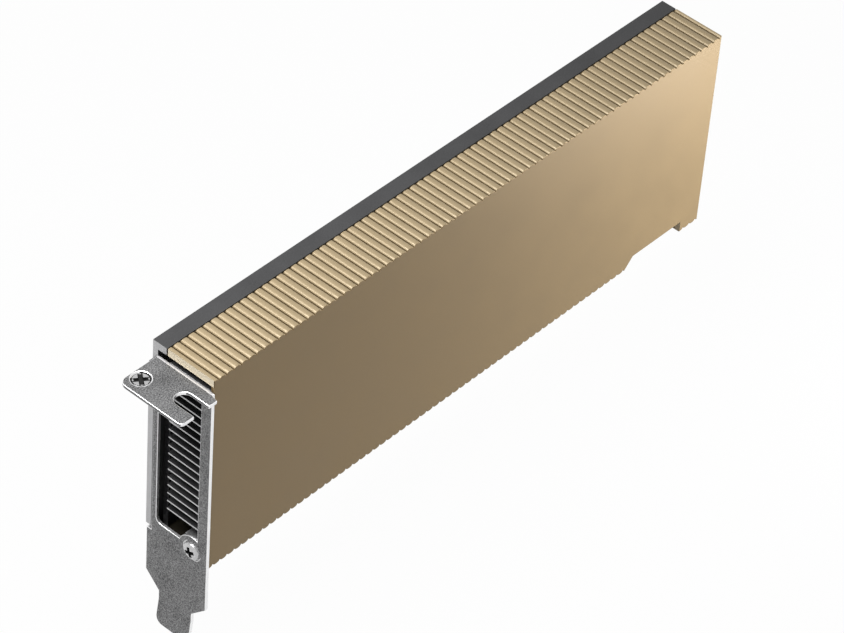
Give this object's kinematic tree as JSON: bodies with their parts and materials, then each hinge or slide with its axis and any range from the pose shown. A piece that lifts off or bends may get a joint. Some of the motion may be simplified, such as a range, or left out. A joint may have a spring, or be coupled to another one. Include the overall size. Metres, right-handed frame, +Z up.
{
  "type": "passive accelerator card",
  "caption": "Low-profile single-slot add-in card under a ribbed gold heatsink cover, with a vented bracket, card-edge connector and fin stack.",
  "frame": {"origin": "tip of the card-edge tongue, on the centre line of its key notch and the board's middle plane", "axes": "+X along the card away from the bracket, +Z up from the tongue to the card's top edge, component side towards -Y"},
  "size_m": [0.1799, 0.0209, 0.0815],
  "materials": {
    "bracket_steel": "satin nickel-plated sheet with a fine speckle",
    "screw_steel": "bright plated",
    "plain_aluminium": "milled",
    "gold_anodised": "fine-blasted gold anodised",
    "fin_aluminium": "stamped sheet",
    "dark_anodised": "dark grey anodised, satin",
    "board_laminate": "solder-masked laminate",
    "contact_gold": "hard gold plate",
    "substrate_green": "solder mask",
    "silicon": "polished silicon",
    "thermal_grey": "soft filled silicone",
    "stiffener_metal": "plated",
    "chip_black": "moulded epoxy",
    "ferrite_grey": "pressed ferrite",
    "capacitor_can": "moulded body",
    "capacitor_ceramic": "fired ceramic",
    "spring_steel": "tempered strip",
    "film_black": "polyester film",
    "brass_spacer": "turned",
    "frame_screw_black": "black zinc"
  },
  "bodies": {
    "root": {"io_bracket": "bracket_steel", "bracket_screw": "screw_steel", "tab_screw": "screw_steel", "bracket_block": "plain_aluminium", "heatsink_cover": "gold_anodised", "heatsink_base": "plain_aluminium", "heatsink_fins": "fin_aluminium", "back_frame": "dark_anodised", "circuit_board": "board_laminate", "edge_contacts_front": "contact_gold", "edge_contacts_back": "contact_gold", "processor_substrate": "substrate_green", "processor_die": "silicon", "thermal_paste": "thermal_grey", "package_stiffener": "stiffener_metal", "memory_chips": "chip_black", "memory_thermal_pads": "thermal_grey", "power_inductors": "ferrite_grey", "inductor_thermal_pads": "thermal_grey", "power_stages": "chip_black", "power_stage_thermal_pads": "thermal_grey", "bulk_capacitors": "capacitor_can", "firmware_chip": "chip_black", "clock_crystal": "stiffener_metal", "coupling_capacitors": "capacitor_ceramic", "back_capacitors": "capacitor_ceramic", "spring_plate": "spring_steel", "spring_film": "film_black", "board_spacers": "brass_spacer", "processor_screws": "screw_steel", "frame_screws": "frame_screw_black"}
  },
  "joints": []
}
